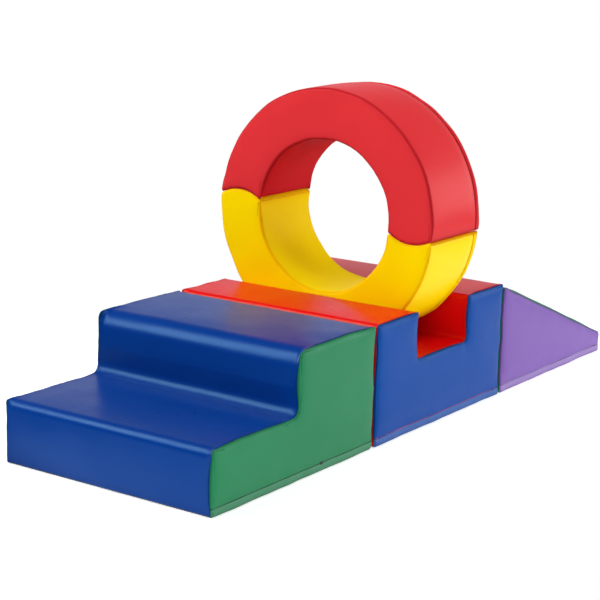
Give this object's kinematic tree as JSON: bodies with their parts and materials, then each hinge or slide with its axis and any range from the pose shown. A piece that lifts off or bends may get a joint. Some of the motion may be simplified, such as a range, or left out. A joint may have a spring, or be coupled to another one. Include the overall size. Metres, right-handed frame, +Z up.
{
  "type": "soft play foam climber",
  "caption": "Soft foam toddler climber: steps up to a bridge block, a crawl-through ring standing in its channel, and a ramp down.",
  "frame": {"origin": "on the floor, under the middle of the row of modules", "axes": "+X along the row from the steps to the ramp, +Y across it to the side without zips, +Z up"},
  "size_m": [1.924, 0.656, 0.8453],
  "materials": {
    "royal_blue_vinyl": "satin",
    "green_vinyl": "satin",
    "red_vinyl": "satin",
    "blue_vinyl": "satin",
    "purple_vinyl": "satin",
    "yellow_vinyl": "satin",
    "foam": "open-cell polyurethane foam",
    "anti_slip_fabric": "matt",
    "zip": "matt coil zip",
    "zip_slider": "black enamel",
    "hook_and_loop": "matt"
  },
  "bodies": {
    "bridge": {"bridge_foam_core": "foam", "bridge_wrap_panel": "red_vinyl", "bridge_base_panel": "anti_slip_fabric", "bridge_near_side_panel": "blue_vinyl", "bridge_far_side_panel": "blue_vinyl", "bridge_zip_flap": "blue_vinyl", "bridge_zip": "zip", "bridge_front_loop_strip": "hook_and_loop", "bridge_rear_loop_strip": "hook_and_loop"},
    "bridge_slider": {"bridge_zip_slider": "zip_slider"},
    "steps": {"steps_foam_core": "foam", "steps_wrap_panel": "royal_blue_vinyl", "steps_base_panel": "anti_slip_fabric", "steps_near_side_panel": "green_vinyl", "steps_far_side_panel": "green_vinyl", "steps_zip_flap": "green_vinyl", "steps_zip": "zip", "steps_hook_strip": "hook_and_loop"},
    "steps_slider": {"steps_zip_slider": "zip_slider"},
    "ramp": {"ramp_foam_core": "foam", "ramp_wrap_panel": "green_vinyl", "ramp_base_panel": "anti_slip_fabric", "ramp_near_side_panel": "purple_vinyl", "ramp_far_side_panel": "purple_vinyl", "ramp_zip_flap": "purple_vinyl", "ramp_zip": "zip", "ramp_hook_strip": "hook_and_loop"},
    "ramp_slider": {"ramp_zip_slider": "zip_slider"},
    "cradle": {"cradle_foam_core": "foam", "cradle_rim_panel": "yellow_vinyl", "cradle_rim_flap": "yellow_vinyl", "cradle_bore_panel": "yellow_vinyl", "cradle_front_panel": "yellow_vinyl", "cradle_rear_panel": "yellow_vinyl", "cradle_far_end_panel": "yellow_vinyl", "cradle_near_end_panel": "yellow_vinyl", "cradle_zip": "zip"},
    "cradle_slider": {"cradle_zip_slider": "zip_slider"},
    "arch": {"arch_foam_core": "foam", "arch_rim_panel": "red_vinyl", "arch_rim_flap": "red_vinyl", "arch_bore_panel": "red_vinyl", "arch_front_panel": "red_vinyl", "arch_rear_panel": "red_vinyl", "arch_far_end_panel": "red_vinyl", "arch_near_end_panel": "red_vinyl", "arch_zip": "zip"},
    "arch_slider": {"arch_zip_slider": "zip_slider"}
  },
  "joints": [
    {"name": "steps_pull", "type": "slide", "parent": "bridge", "child": "steps", "axis": [-1, 0, 0], "range_m": [0, 0.4]},
    {"name": "ramp_pull", "type": "slide", "parent": "bridge", "child": "ramp", "axis": [1, 0, 0], "range_m": [0, 0.4]},
    {"name": "cradle_lift", "type": "slide", "parent": "bridge", "child": "cradle", "axis": [0, 0, 1], "range_m": [0, 0.35]},
    {"name": "arch_lift", "type": "slide", "parent": "cradle", "child": "arch", "axis": [0, -0.0785, 0.9969], "range_m": [0, 0.3]},
    {"name": "steps_zip_run", "type": "slide", "parent": "steps", "child": "steps_slider", "axis": [1, 0, 0], "range_m": [-0.4, 0.2]},
    {"name": "bridge_zip_run", "type": "slide", "parent": "bridge", "child": "bridge_slider", "axis": [1, 0, 0], "range_m": [-0.58, 0]},
    {"name": "ramp_zip_run", "type": "slide", "parent": "ramp", "child": "ramp_slider", "axis": [1, 0, 0], "range_m": [-0.57, 0]},
    {"name": "arch_zip_run", "type": "hinge", "parent": "arch", "child": "arch_slider", "pos_m": [0.009, 0, 0.5173], "axis": [1, 0, 0], "range_deg": [-13, 161]},
    {"name": "cradle_zip_run", "type": "hinge", "parent": "cradle", "child": "cradle_slider", "pos_m": [0.009, 0, 0.5173], "axis": [1, 0, 0], "range_deg": [-65, 12]}
  ]
}
